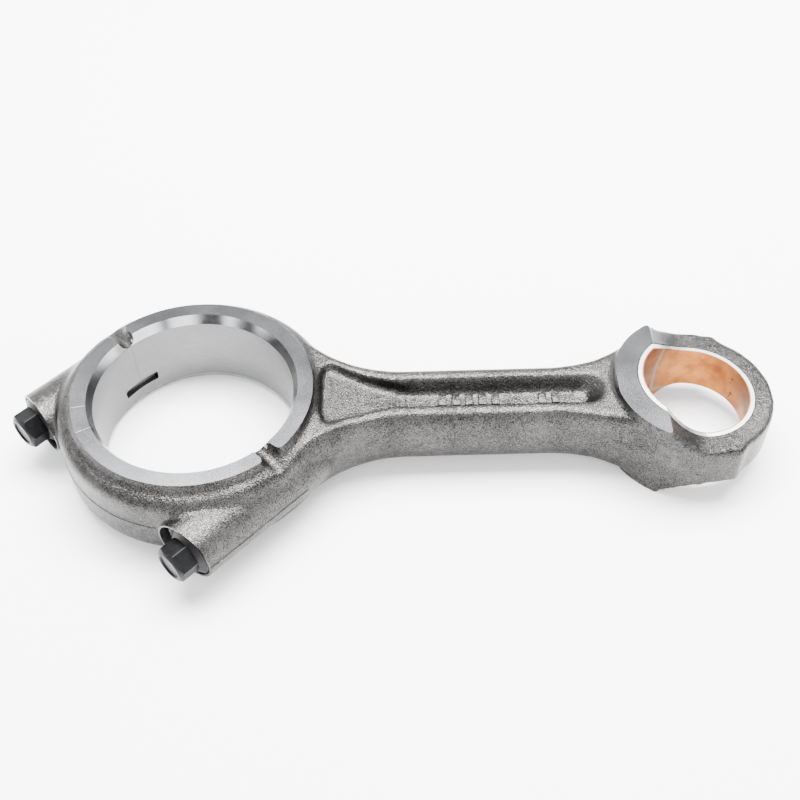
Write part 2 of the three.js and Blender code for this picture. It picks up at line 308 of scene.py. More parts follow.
def bevel_edges(piece, width, segments, angle=40.0):
    return modify(
        piece, "BEVEL", width=width * MM, segments=segments, limit_method="ANGLE",
        angle_limit=math.radians(angle))


def along_bolts(piece, spread):
    """Lays a piece made along +Z on a bolt's axis, its top towards the bolt's head."""
    x = -math.sin(SPLIT) * spread
    y = math.cos(SPLIT) * spread
    return place(piece, x, y, 0, turn=(0, math.radians(90), SPLIT))


def mirrored(piece):
    """A copy on the other side of the mid-plane."""
    twin = copy_of(piece, piece.name + "_under")
    take(twin)
    bpy.ops.object.mode_set(mode="EDIT")
    bpy.ops.mesh.select_all(action="SELECT")
    bpy.ops.transform.resize(value=(1, 1, -1), center_override=CRANK)
    bpy.ops.mesh.normals_make_consistent(inside=False)
    bpy.ops.object.mode_set(mode="OBJECT")
    return twin


def wear(piece, *materials):
    """Gives a piece its materials, the first one all over."""
    piece.data.materials.clear()
    for material in materials:
        piece.data.materials.append(material)
    return piece


def finish_piece(piece, name, body, nodes):
    piece.name = name
    piece.data.name = name
    take(piece)
    bpy.ops.object.shade_smooth_by_angle(angle=math.radians(SMOOTH_ANGLE), keep_sharp_edges=False)
    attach(piece, body)
    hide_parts(*nodes)
    deselect()
    return piece


# ---- shader groups --------------------------------------------------------------------------------

def new_group(name, inputs, outputs):
    group = bpy.data.node_groups.new(name, "ShaderNodeTree")
    for label, kind, value in inputs:
        socket = group.interface.new_socket(label, in_out="INPUT", socket_type=kind)
        socket.default_value = value
    for label, kind in outputs:
        group.interface.new_socket(label, in_out="OUTPUT", socket_type=kind)
    return group, group.nodes.new("NodeGroupInput"), group.nodes.new("NodeGroupOutput")


def node(tree, kind, **settings):
    made = tree.nodes.new(kind)
    for key, value in settings.items():
        setattr(made, key, value)
    return made


def math_node(tree, operation, a, b=None):
    made = node(tree, "ShaderNodeMath", operation=operation)
    for socket, value in zip(made.inputs, (a, b)):
        if value is None:
            continue
        if isinstance(value, (int, float)):
            socket.default_value = value
        else:
            tree.links.new(value, socket)
    return made.outputs[0]


def remap(tree, value, low, high, to_low=0.0, to_high=1.0):
    made = node(tree, "ShaderNodeMapRange")
    made.inputs["From Min"].default_value = low
    made.inputs["From Max"].default_value = high
    made.inputs["To Min"].default_value = to_low
    made.inputs["To Max"].default_value = to_high
    tree.links.new(value, made.inputs["Value"])
    return made.outputs["Result"]


def object_coordinates(tree):
    return node(tree, "ShaderNodeTexCoord").outputs["Object"]


def noise(tree, vector, size, detail=2.0, roughness=0.5):
    """Noise whose lumps are about this many millimetres across."""
    made = node(tree, "ShaderNodeTexNoise")
    made.inputs["Scale"].default_value = 1 / (size * MM)
    made.inputs["Detail"].default_value = detail
    made.inputs["Roughness"].default_value = roughness
    tree.links.new(vector, made.inputs["Vector"])
    return made.outputs["Fac"]


def make_shot_blast_group():
    """The peened, grainy skin that shot blasting leaves on a forging."""
    group, given, result = new_group(
        "shot_blast_skin",
        [("Grain Size", "NodeSocketFloat", 0.6)],
        [("Tone", "NodeSocketFloat"), ("Height", "NodeSocketFloat"), ("Patches", "NodeSocketFloat")])
    where = object_coordinates(group)
    per_metre = math_node(group, "DIVIDE", 1 / MM, given.outputs["Grain Size"])
    pits = node(group, "ShaderNodeTexVoronoi", feature="SMOOTH_F1")
    pits.inputs["Smoothness"].default_value = 0.6
    group.links.new(where, pits.inputs["Vector"])
    group.links.new(per_metre, pits.inputs["Scale"])
    fine = noise(group, where, 0.42, 3.0, 0.65)
    coarse = noise(group, where, 2.4, 3.0, 0.6)
    patches = noise(group, where, 17.0, 3.0, 0.55)
    speck = remap(group, fine, 0.3, 0.7)
    dents = math_node(group, "MULTIPLY", pits.outputs["Distance"], 0.8)
    height = math_node(group, "ADD", dents, math_node(group, "MULTIPLY", fine, 0.7))
    height = math_node(group, "ADD", height, math_node(group, "MULTIPLY", coarse, 0.9))
    tone = math_node(group, "ADD", math_node(group, "MULTIPLY", speck, 0.65),
                     math_node(group, "MULTIPLY", coarse, 0.35))
    group.links.new(tone, result.inputs["Tone"])
    group.links.new(height, result.inputs["Height"])
    group.links.new(patches, result.inputs["Patches"])
    return group


def make_turning_group():
    """Concentric tool marks about an upright axis."""
    group, given, result = new_group(
        "turning_marks",
        [("Axis", "NodeSocketVector", (0.0, 0.0, 0.0)), ("Pitch", "NodeSocketFloat", 0.25)],
        [("Marks", "NodeSocketFloat"), ("Drift", "NodeSocketFloat")])
    where = object_coordinates(group)
    offset = node(group, "ShaderNodeVectorMath", operation="SUBTRACT")
    group.links.new(where, offset.inputs[0])
    group.links.new(given.outputs["Axis"], offset.inputs[1])
    flat = node(group, "ShaderNodeVectorMath", operation="MULTIPLY")
    flat.inputs[1].default_value = (1, 1, 0)
    group.links.new(offset.outputs["Vector"], flat.inputs[0])
    length = node(group, "ShaderNodeVectorMath", operation="LENGTH")
    group.links.new(flat.outputs["Vector"], length.inputs[0])
    turns = math_node(group, "DIVIDE", length.outputs["Value"], math_node(
        group, "MULTIPLY", given.outputs["Pitch"], MM))
    wobble = math_node(group, "MULTIPLY", noise(group, where, 6.0), 2.0)
    phase = math_node(group, "MULTIPLY", math_node(group, "ADD", turns, wobble), 2 * math.pi)
    marks = remap(group, math_node(group, "SINE", phase), -1.0, 1.0)
    group.links.new(marks, result.inputs["Marks"])
    group.links.new(noise(group, where, 9.0, 2.0), result.inputs["Drift"])
    return group


def around(tree, centre):
    """Angle in degrees about an upright axis, and height in millimetres from its centre."""
    offset = node(tree, "ShaderNodeVectorMath", operation="SUBTRACT")
    offset.inputs[1].default_value = centre
    tree.links.new(object_coordinates(tree), offset.inputs[0])
    parts = node(tree, "ShaderNodeSeparateXYZ")
    tree.links.new(offset.outputs["Vector"], parts.inputs["Vector"])
    turn = math_node(tree, "ARCTAN2", parts.outputs["Y"], parts.outputs["X"])
    return math_node(tree, "DEGREES", turn), math_node(tree, "DIVIDE", parts.outputs["Z"], MM)


def within(tree, value, centre, half, edge):
    """One inside a band about a centre, falling to nothing over its edge."""
    away = math_node(tree, "ABSOLUTE", math_node(tree, "SUBTRACT", value, centre))
    return remap(tree, away, half, half + edge, 1.0, 0.0)


def place_group(tree, group, **values):
    made = tree.nodes.new("ShaderNodeGroup")
    made.node_tree = group
    for label, value in values.items():
        made.inputs[label.replace("_", " ")].default_value = value
    return made.outputs


def new_material(name, metallic, roughness, colour):
    material = bpy.data.materials.new(name)
    material.use_nodes = True
    tree = material.node_tree
    shader = tree.nodes["Principled BSDF"]
    shader.inputs["Metallic"].default_value = metallic
    shader.inputs["Roughness"].default_value = roughness
    shader.inputs["Base Color"].default_value = (*colour, 1)
    return material, tree, shader


def tint(tree, shader, factor, dark, light):
    """Base colour between two tones."""
    mix = node(tree, "ShaderNodeMix", data_type="RGBA")
    mix.inputs["A"].default_value = (*dark, 1)
    mix.inputs["B"].default_value = (*light, 1)
    tree.links.new(factor, mix.inputs["Factor"])
    tree.links.new(mix.outputs["Result"], shader.inputs["Base Color"])
    return mix.outputs["Result"]


def bump(tree, shader, height, distance, strength=1.0):
    made = node(tree, "ShaderNodeBump")
    made.inputs["Distance"].default_value = distance * MM
    made.inputs["Strength"].default_value = strength
    tree.links.new(height, made.inputs["Height"])
    tree.links.new(made.outputs["Normal"], shader.inputs["Normal"])


# ---- materials --------------------------------------------------------------------------------------

def make_forged_skin(shot_blast):
    material, tree, shader = new_material("forged_skin", 1.0, 0.45, (0.1, 0.1, 0.098))
    skin = place_group(tree, shot_blast, Grain_Size=0.62)
    blotched = math_node(tree, "ADD", math_node(tree, "MULTIPLY", skin["Tone"], 0.8),
                         math_node(tree, "MULTIPLY", skin["Patches"], 0.3))
    contrast = remap(tree, blotched, 0.4, 0.76)
    tint(tree, shader, contrast, (0.0085, 0.0083, 0.008), (0.086, 0.083, 0.0794))
    tree.links.new(remap(tree, skin["Tone"], 0.3, 0.7, 0.36, 0.25), shader.inputs["Roughness"])
    bump(tree, shader, skin["Height"], 0.17, 1.0)
    return material


def make_ground_face(shot_blast):
    """Fine ground steel, with two scribed lines across the crank bore's ring."""
    material, tree, shader = new_material("ground_face", 1.0, 0.24, (0.12, 0.12, 0.125))
    skin = place_group(tree, shot_blast, Grain_Size=0.9)
    plain = tint(tree, shader, skin["Tone"], (0.066, 0.067, 0.0695), (0.11, 0.112, 0.1155))
    angle, _ = around(tree, tuple(CRANK))
    lines = math_node(tree, "MAXIMUM", *(within(tree, angle, line, 0.12, 0.2) for line in SCRIBED_LINES))
    scribed = node(tree, "ShaderNodeMix", data_type="RGBA")
    scribed.inputs["B"].default_value = (0.24, 0.24, 0.245, 1)
    tree.links.new(lines, scribed.inputs["Factor"])
    tree.links.new(plain, scribed.inputs["A"])
    tree.links.new(scribed.outputs["Result"], shader.inputs["Base Color"])
    tree.links.new(remap(tree, skin["Patches"], 0.3, 0.7, 0.2, 0.28), shader.inputs["Roughness"])
    bump(tree, shader, skin["Tone"], 0.006)
    return material


def make_turned_chamfer(turning):
    material, tree, shader = new_material("turned_chamfer", 1.0, 0.18, (0.5, 0.5, 0.5))
    marks = place_group(tree, turning, Axis=tuple(CRANK), Pitch=0.22)
    tint(tree, shader, marks["Drift"], (0.25, 0.254, 0.258), (0.44, 0.44, 0.447))
    tree.links.new(remap(tree, marks["Drift"], 0.3, 0.7, 0.1, 0.18), shader.inputs["Roughness"])
    bump(tree, shader, marks["Marks"], 0.003)
    return material


def make_bored_wall(shot_blast):
    material, tree, shader = new_material("bored_wall", 1.0, 0.4, (0.3, 0.3, 0.297))
    skin = place_group(tree, shot_blast, Grain_Size=0.9)
    stretched = node(tree, "ShaderNodeMapping")
    stretched.inputs["Scale"].default_value = (1, 1, 14)
    tree.links.new(object_coordinates(tree), stretched.inputs["Vector"])
    rings = noise(tree, stretched.outputs["Vector"], 5.0, 3.0)
    tone = math_node(tree, "ADD", math_node(tree, "MULTIPLY", rings, 0.7),
                     math_node(tree, "MULTIPLY", skin["Tone"], 0.3))
    tint(tree, shader, tone, (0.1, 0.1, 0.0992), (0.195, 0.195, 0.1925))
    tree.links.new(remap(tree, skin["Patches"], 0.3, 0.7, 0.36, 0.48), shader.inputs["Roughness"])
    bump(tree, shader, tone, 0.01)
    return material


def make_spot_face(turning):
    material, tree, shader = new_material("spot_face", 1.0, 0.34, (0.12, 0.12, 0.12))
    marks = place_group(tree, turning, Axis=tuple(CRANK), Pitch=0.4)
    tint(tree, shader, marks["Drift"], (0.045, 0.045, 0.045), (0.13, 0.13, 0.13))
    bump(tree, shader, marks["Marks"], 0.01)
    return material


def make_cracked_face():
    material, tree, shader = new_material("cracked_face", 0.7, 0.6, (0.3, 0.3, 0.3))
    where = object_coordinates(tree)
    grain = noise(tree, where, 0.7, 4.0, 0.7)
    tint(tree, shader, grain, (0.03, 0.03, 0.031), (0.12, 0.12, 0.122))
    bump(tree, shader, grain, 0.35)
    return material


def make_bush_steel():
    material, tree, shader = new_material("bush_rim", 1.0, 0.3, (0.8, 0.8, 0.8))
    where = object_coordinates(tree)
    drift = noise(tree, where, 4.0, 3.0)
    tint(tree, shader, drift, (0.44, 0.44, 0.44), (0.74, 0.74, 0.74))
    bump(tree, shader, noise(tree, where, 0.5, 2.0), 0.015)
    return material


def bronze_wear(tree):
    """A thin curved band where the lining is rubbed grey, down the bore and along its lower rim."""
    angle, height = around(tree, tuple(PIN))
    sag = math_node(tree, "POWER", math_node(tree, "DIVIDE", math_node(tree, "ADD", height, 4.0), 17.0), 2.0)
    curve = math_node(tree, "SUBTRACT", 124.0, math_node(tree, "MULTIPLY", sag, 7.5))
    down = within(tree, math_node(tree, "SUBTRACT", angle, curve), 0.0, 1.2, 1.3)
    down = math_node(tree, "MULTIPLY", down, math_node(tree, "GREATER_THAN", height, -9.6))
    slope = math_node(tree, "MULTIPLY", math_node(tree, "SUBTRACT", 124.0, angle), 0.08)
    along = within(tree, math_node(tree, "ADD", height, slope), -9.2, 0.4, 0.5)
    along = math_node(tree, "MULTIPLY", along, within(tree, angle, 111.0, 12.0, 3.0))
    return math_node(tree, "MAXIMUM", down, along)


def bronze_pits(tree):
    """A few dark pits low on the bore, away from the shank."""
    mask = 0.0
    for turn, height, radius in ((31, 3.2, 0.5), (32.5, 0.9, 0.35), (28, -4.0, 0.65), (29.5, -5.6, 0.4)):
        a = math.radians(turn)
        spot = PIN + Vector((LINING_BORE * math.cos(a), LINING_BORE * math.sin(a), height)) * MM
        gap = node(tree, "ShaderNodeVectorMath", operation="DISTANCE")
        gap.inputs[1].default_value = spot
        tree.links.new(object_coordinates(tree), gap.inputs[0])
        pit = remap(tree, gap.outputs["Value"], radius * 0.7 * MM, radius * 1.3 * MM, 1.0, 0.0)
        mask = math_node(tree, "MAXIMUM", pit, mask)
    return mask


def blend_over(tree, under, mask, colour):
    mix = node(tree, "ShaderNodeMix", data_type="RGBA")
    mix.inputs["B"].default_value = (*colour, 1)
    tree.links.new(mask, mix.inputs["Factor"])
    tree.links.new(under, mix.inputs["A"])
    return mix.outputs["Result"]


def make_bush_bronze():
    """Fine-bored bronze, darker in patches, with a worn grey band and a few pits."""
    material, tree, shader = new_material("bush_bronze", 1.0, 0.33, (0.5, 0.2, 0.06))
    where = object_coordinates(tree)
    patches = noise(tree, where, 9.0, 4.0, 0.6)
    shades = tint(tree, shader, remap(tree, patches, 0.3, 0.7), (0.175, 0.052, 0.010), (0.36, 0.14, 0.034))
    rubbed = blend_over(tree, shades, bronze_wear(tree), (0.18, 0.165, 0.15))
    pitted = blend_over(tree, rubbed, bronze_pits(tree), (0.03, 0.012, 0.006))
    tree.links.new(pitted, shader.inputs["Base Color"])
    tree.links.new(remap(tree, patches, 0.3, 0.7, 0.4, 0.28), shader.inputs["Roughness"])
    bump(tree, shader, noise(tree, where, 0.35, 2.0), 0.012)
    return material


def make_bolt_black():
    material, tree, shader = new_material("bolt_black", 0.9, 0.4, (0.016, 0.016, 0.017))
    where = object_coordinates(tree)
    film = noise(tree, where, 2.2, 4.0, 0.6)
    tint(tree, shader, film, (0.003, 0.003, 0.0033), (0.012, 0.012, 0.013))
    tree.links.new(remap(tree, film, 0.3, 0.7, 0.32, 0.48), shader.inputs["Roughness"])
    bump(tree, shader, noise(tree, where, 0.3, 2.0), 0.02)
    return material


def make_floor_paper():
    material, tree, shader = new_material("floor_paper", 0.0, 0.6, (0.86, 0.86, 0.865))
    where = object_coordinates(tree)
    tint(tree, shader, noise(tree, where, 60.0, 2.0), (0.89, 0.89, 0.893), (0.91, 0.91, 0.913))
    return material


# ---- the forging ------------------------------------------------------------------------------------

def shank_outline(half_width, flare_line):
    """Parallel flanks, an arc each side onto a 45 degree flank at the big end, and a smaller arc
    each side onto the small end."""
    reach = flare_line * math.sqrt(2)
    radius = (FLARE_START + half_width - reach) / (math.sqrt(2) - 1)
    tangent = flare_line / math.sqrt(2)
    fillet_y = half_width + SMALL_END_FILLET
    fillet_x = CENTRES - math.sqrt((SMALL_END_RADIUS + SMALL_END_FILLET) ** 2 - fillet_y ** 2)
    fillet_angle = math.degrees(math.atan2(fillet_y, CENTRES - fillet_x))
    lower = [(0, -tangent), (tangent, -tangent)]
    lower += arc(FLARE_START, -half_width - radius, radius, 135, 90)
    lower += arc(fillet_x, -fillet_y, SMALL_END_FILLET, 90, fillet_angle)
    lower += [(CENTRES - SHANK_OVERLAP, -SHANK_OVERLAP_HALF)]
    return lower + [(x, -y) for x, y in reversed(lower)]


def small_end_outline():
    """Round towards the shank, with two shoulders and a flatter nose at the tip."""
    nose = math.degrees(math.atan2(SHOULDER_Y, SHOULDER_X))
    upper = arc(CENTRES, 0, NOSE_RADIUS, 0, nose - 9)
    upper += arc(CENTRES + SHOULDER_X, SHOULDER_Y, SHOULDER_RADIUS, nose, 90, 4)
    upper += arc(CENTRES, 0, SMALL_END_RADIUS, 90, 180, 24)
    lower = [(x, -y) for x, y in reversed(upper[1:-1])]
    return upper + lower


def side_block(name, outline):
    """A profile seen from the side, in X and height, made thick across the rod."""
    return place(prism(name, outline, -CUTTER_REACH, CUTTER_REACH), turn=(math.radians(90), 0, 0))


def step_cutter():
    """What is missing above the small end's stepped side: a straight edge, then a hollow curve."""
    start = CENTRES - STEP_X
    end = start + STEP_RUN
    low = FACE - STEP_DROP
    curve = []
    for i in range(9):
        t = i / 8
        curve.append((start + STEP_RUN * t, FACE - STEP_DROP * (2 * t - t * t)))
    tip = CENTRES + SMALL_END_RADIUS + 3
    outline = curve + [(tip, low - 1.0), (tip, FACE + 8), (start, FACE + 8)]
    return side_block("step_cutter", outline)


def rise_block(name, start, end, foot, peak, beyond):
    """Lets the flanges climb from the shank's crest to an end's taller forged face."""
    span = end - start
    top = [(start + span * t, foot + (peak - foot) * t * t * (3 - 2 * t)) for t in
           (0, 0.2, 0.4, 0.6, 0.8, 1)]
    top.append((beyond, peak))
    outline = top + [(x, -z) for x, z in reversed(top)]
    return side_block(name, outline)


def widen_top(piece, height, value, centre_x):
    """Scales the ring of points at the top of an upright piece."""
    pick_points(piece, lambda point: point.z > (height - 0.5) * MM)
    bpy.ops.transform.resize(value=value, center_override=(centre_x * MM, 0, 0))
    bpy.ops.object.mode_set(mode="OBJECT")
    return piece


def pocket_cutter():
    """The long pocket over the web: drafted walls, opening out and climbing towards the big end."""
    top = FACE + 4
    end = CENTRES - 41
    half = [(FLARE_START - 4, -POCKET_FOOT), (end - 4, -POCKET_FOOT)]
    half += arc(end - 4, -POCKET_FOOT + 3.6, 3.6, -90, -10, 4)
    straight = half + [(x, -y) for x, y in reversed(half)]
    pocket = prism("pocket", straight, WEB, top)
    widen_top(pocket, top, (1.2, POCKET_DRAFT, 1), FLARE_START)
    place(pocket)
    half = [(FLARE_START + 6, POCKET_FOOT), (74, POCKET_FOOT + 1.9), (66, POCKET_FOOT + 3.7),
            (58, POCKET_FOOT + 6.4), (53, POCKET_FOOT + 8.4), (49.8, POCKET_FOOT + 8.0), (48.4, 8)]
    mouth = half + [(x, -y) for x, y in reversed(half)]
    flare = prism("flare", mouth, WEB, top)
    widen_top(flare, top, (1.02, 1.4, 1), FLARE_START)
    place(flare)
    ramp = [(36, 13.6), (46, 12.4), (52, 11.2), (62, 9.2), (72, 7.4), (FLARE_START + 2, WEB),
            (96, WEB), (96, 24), (36, 24)]
    combine(flare, side_block("ramp", ramp), "INTERSECT")
    return combine(pocket, flare, "UNION")


def cap_side(spread):
    """Which way along the split the cap's wall lies from a bolt."""
    return -1 if spread > 0 else 1


def boss(spread):
    """A bolt boss with a second lobe that runs it into the cap's wall."""
    top = BOSS_END + 5
    tapered = [(4.5, -27), (8.0, -25), (10.4, -18), (BOSS_RADIUS, -6), (BOSS_RADIUS, top)]
    main = along_bolts(turned("boss", tapered, 48), spread)
    lobe = turned("lobe", [(8.0, 12), (BOSS_RADIUS + 0.3, 24), (BOSS_RADIUS + 0.3, top + 1)], 48)
    return join([main, along_bolts(lobe, spread + cap_side(spread) * BOSS_OVERLAP)])


def boss_facing(spread):
    """Faces off a boss's end, leaning so that it stands highest against the cap."""
    low = BOSS_END + 1.2
    cutter = turned("facing", [(15.5, low + 20), (15.5, low)], 48)
    pick_points(cutter, lambda point: point.z < (low + 1) * MM)
    bpy.ops.transform.rotate(
        value=-cap_side(spread) * BOSS_LEAN, orient_axis="X", center_override=(0, 0, low * MM))
    bpy.ops.object.mode_set(mode="OBJECT")
    return along_bolts(cutter, spread + cap_side(spread) * BOSS_OVERLAP)


def drum(radius, height, edge):
    made = turned("drum", [(radius, -height), (radius, height)], 96)
    if edge:
        bevel_edges(made, edge, 4, 60)
    return place(made)


def web_pads():
    """Plain raised pads on the web, five beside two."""
    pads = []
    for start, count in PAD_ROWS:
        for i in range(count):
            x = start + PAD_PITCH * i
            pad = block("pad", (x - PAD_HALF, PAD_NEAR, WEB - 1.5), (x + PAD_HALF, PAD_FAR, WEB + PAD_RISE))
            bevel_edges(pad, 0.35, 2)
            pads.append(place(pad))
    return pads


def plan_slab(name, half_width, flare_line, half_height):
    return place(prism(name, shank_outline(half_width, flare_line), -half_height, half_height))


def small_end_solid():
    """The round end: forged low beside the shank, tall and stepped beyond the pin's near side."""
    solid = place(prism("slug", small_end_outline(), -SMALL_END_FACE, SMALL_END_FACE))
    tall = FACE + MACHINING_STOCK
    edge = CENTRES - STEP_X
    hump = place(prism("hump", small_end_outline(), -FACE, FACE))
    hump_side = [(edge - 0.6, -tall), (edge + 60, -tall), (edge + 60, tall), (edge - 0.6, tall)]
    combine(hump, side_block("hump_side", hump_side), "INTERSECT")
    combine(solid, hump, "UNION")
    combine(solid, crescent(tall), "UNION")
    step = step_cutter()
    combine(solid, mirrored(step), "DIFFERENCE")
    return combine(solid, step, "DIFFERENCE")


def big_end_solid():
    """The drum with its two raised rings."""
    solid = drum(DRUM_RADIUS, DRUM_FACE, DRUM_EDGE)
    tall = FACE + MACHINING_STOCK
    rings = place(turned("rings", [
        (THRUST_RADIUS - 0.1, -tall), (THRUST_RADIUS + 1.0, -DRUM_FACE), (THRUST_RADIUS + 1.0, DRUM_FACE),
        (THRUST_RADIUS - 0.1, tall)], 120))
    return combine(solid, rings, "UNION")


def forge_blank():
    """The whole forging before machining. Simple solids are run together and softened as one skin."""
    layers = []
    for half, height in SHANK_LAYERS:
        layers.append(plan_slab("shank", half, FLARE_LINE + half - SHANK_HALF, height))
    rise = rise_block("rise", FLARE_START - 4, 46, SHANK_CREST - 1, DRUM_FACE, 25)
    combine(rise, plan_slab("rise_plan", SHANK_HALF - 2, FLARE_LINE - 3.5, 20), "INTERSECT")
    climb = rise_block(
        "climb", CENTRES - 44, CENTRES - 29, SHANK_CREST - 1, SMALL_END_FACE - 0.5, CENTRES - 10)
    combine(climb, plan_slab("climb_plan", SHANK_HALF - 3, FLARE_LINE, 20), "INTERSECT")
    blank = join(layers + [rise, climb, small_end_solid(), big_end_solid(),
                           boss(BOLT_SPREAD), boss(-BOLT_SPREAD)])
    modify(blank, "REMESH", mode="VOXEL", voxel_size=FORGE_VOXEL * MM)
    for side in (1, -1):
        combine(blank, crack_channel(side), "DIFFERENCE")
    pocket = pocket_cutter()
    combine(blank, mirrored(pocket), "DIFFERENCE")
    combine(blank, pocket, "DIFFERENCE")
    modify(blank, "REMESH", mode="VOXEL", voxel_size=FORGE_VOXEL * MM)
    guard_ridge(blank)
    modify(blank, "SMOOTH", factor=0.5, iterations=FORGE_SOFTENING, vertex_group="soften")
    return blank


def guard_ridge(blank):
    """Less softening beside the small end's straight edges, where the milled crescents begin."""
    soften = blank.vertex_groups.new(name="soften")
    ridge = PIN.x - STEP_X * MM
    for vertex in blank.data.vertices:
        near = abs(vertex.co.x - ridge) < 2.5 * MM and abs(vertex.co.z - PIN.z) > 12 * MM
        soften.add([vertex.index], 0.15 if near else 1.0, "REPLACE")


def crescent(tall):
    """The raised face on the shank's side of the pin bore."""
    plate = turned("crescent", [(SMALL_END_RADIUS + 0.3, -tall), (SMALL_END_RADIUS + 0.3, tall)], 128)
    place(plate, CENTRES)
    edge = CENTRES - STEP_X
    keep = place(block("keep", (edge - 40, -40, -30), (edge, 40, 30)))
    return combine(plate, keep, "INTERSECT")


def crank_bore_cutter():
    """The crank bore, with a chamfer at each mouth that runs on past the face."""
    flare = (BORE_MOUTH - BORE) / CHAMFER_DEPTH
    mouth = BORE_MOUTH + flare * OVERCUT
    cutter = turned("crank_bore", [
        (mouth, -FACE - OVERCUT), (BORE, -FACE + CHAMFER_DEPTH),
        (BORE, FACE - CHAMFER_DEPTH), (mouth, FACE + OVERCUT)], 160)
    return place(cutter)


def bolt_passage(spread):
    """The threaded hole, the clearance hole and the counterbore, in one cut."""
    cutter = turned("passage", [
        (BOLT_HOLE * 0.5, -HOLE_END - 2), (BOLT_HOLE, -HOLE_END), (BOLT_HOLE, BOLT_SEAT),
        (COUNTERBORE, BOLT_SEAT), (COUNTERBORE, BOSS_END + 8)], 64)
    return along_bolts(cutter, spread)


def cap_scallop(spread):
    """The counterbore's second lobe, let into the cap's wall."""
    cutter = turned("scallop", [
        (COUNTERBORE - 1.2, BOLT_SEAT + 0.6), (COUNTERBORE + 0.5, BOLT_SEAT + 1.8),
        (COUNTERBORE + 0.5, BOSS_END + 8)], 64)
    return along_bolts(cutter, spread + cap_side(spread) * BOSS_OVERLAP)


def crack_channel(side):
    """The forged valley that crosses a thrust ring where the crack runs out, wider further out."""
    cutter = turned("channel", [
        (7.6, -62), (5.0, -50), (3.6, -43), (3.6, 43), (5.0, 50), (7.6, 62)], 32)
    x = CHANNEL_OFFSET * math.cos(SPLIT)
    y = CHANNEL_OFFSET * math.sin(SPLIT)
    return place(cutter, x, y, side * (FACE - 0.3), turn=(math.radians(90), 0, SPLIT))


def tang_slot():
    """The notch in the bore's wall, across the crack, for the bearing shells' tangs."""
    cutter = block("tang_slot", (-TANG_HALF, -BORE - TANG_DEPTH, TANG_LOW), (TANG_HALF, -BORE + 4, TANG_HIGH))
    bevel_edges(cutter, 0.5, 2)
    return place(cutter, turn=(0, 0, SPLIT))


def flash_lines():
    """The trimmed flash that is left as a fine ridge along the die parting."""
    ridges = [place(turned("drum_flash", [
        (DRUM_RADIUS + FLASH_PROUD, -FLASH_HALF), (DRUM_RADIUS + FLASH_PROUD, FLASH_HALF)], 120))]
    reach = BOSS_RADIUS + FLASH_PROUD
    for spread in (BOLT_SPREAD, -BOLT_SPREAD):
        strip = block("boss_flash", (-FLASH_HALF, -reach, -6), (FLASH_HALF, reach, BOSS_END - 1))
        ridges.append(along_bolts(strip, spread))
    return ridges


def facing_cutter(side):
    """Everything above the level of the ground faces."""
    low, high = sorted((side * FACE, side * (FACE + 12)))
    return place(block("facing", (-90, -90, low), (260, 90, high)))


def machine(blank, finishes):
    """Grinds the faces and cuts the bores, as a machine shop would."""
    for ridge in flash_lines():
        combine(blank, wear(ridge, finishes["forged"]), "UNION")
    for pad in web_pads():
        combine(blank, wear(pad, finishes["forged"]), "UNION")
    for side in (1, -1):
        combine(blank, wear(facing_cutter(side), finishes["ground"]), "DIFFERENCE")
    combine(blank, wear(crank_bore_cutter(), finishes["bored"]), "DIFFERENCE")
    seat = place(turned("pin_seat", [(BUSH_SEAT, -30), (BUSH_SEAT, 30)], PIN_BORE_SIDES), CENTRES)
    combine(blank, wear(seat, finishes["spot"]), "DIFFERENCE")
    for spread in (BOLT_SPREAD, -BOLT_SPREAD):
        combine(blank, wear(boss_facing(spread), finishes["ground"]), "DIFFERENCE")
        combine(blank, wear(cap_scallop(spread), finishes["spot"]), "DIFFERENCE")
        combine(blank, wear(bolt_passage(spread), finishes["spot"]), "DIFFERENCE")
    return combine(blank, wear(tang_slot(), finishes["spot"]), "DIFFERENCE")


def brighten_chamfers(blank, chamfer):
    """The two turned mouths of the crank bore take their own bright finish."""
    blank.data.materials.append(chamfer)
    index = len(blank.data.materials) - 1
    for polygon in blank.data.polygons:
        offset = polygon.center - CRANK
        radius = math.hypot(offset.x, offset.y) / MM
        leaning = 0.15 < abs(polygon.normal.z) < 0.8
        high = abs(offset.z) / MM > FACE - CHAMFER_DEPTH - 0.3
        if leaning and high and BORE - 0.3 < radius < BORE_MOUTH + 0.2:
            polygon.material_index = index


def crack_block(shift, face):
    """Everything on the cap's side of the crack."""
    made = block("crack_block", (shift, -150, -60), (150, 150, 60))
    return wear(place(made, turn=(0, 0, SPLIT)), face)


def make_forgings(finishes):
    blank = wear(forge_blank(), finishes["forged"])
    machine(blank, finishes)
    brighten_chamfers(blank, finishes["chamfer"])
    cap = copy_of(blank, "cap")
    combine(cap, crack_block(HAIRLINE, finishes["cracked"]), "INTERSECT")
    combine(blank, crack_block(-HAIRLINE, finishes["cracked"]), "DIFFERENCE")
    finish_piece(blank, "rod_forging_surface", "rod", ["rod_forging"])
    finish_piece(cap, "bearing_cap_surface", "cap", ["bearing_cap"])


# ---- the bush ---------------------------------------------------------------------------------------

def bush_ring(name, inner, outer):
    """A ring in the pin bore, cut to the small end's stepped sides."""
    ring = place(turned(name, [(outer, -FACE), (outer, FACE)], PIN_BORE_SIDES), CENTRES)
    reach = FACE + 4
    hollow = place(turned("hollow", [(inner, -reach), (inner, reach)], PIN_BORE_SIDES), CENTRES)
    combine(ring, hollow, "DIFFERENCE")
    step = step_cutter()
    combine(ring, mirrored(step), "DIFFERENCE")
    return combine(ring, step, "DIFFERENCE")


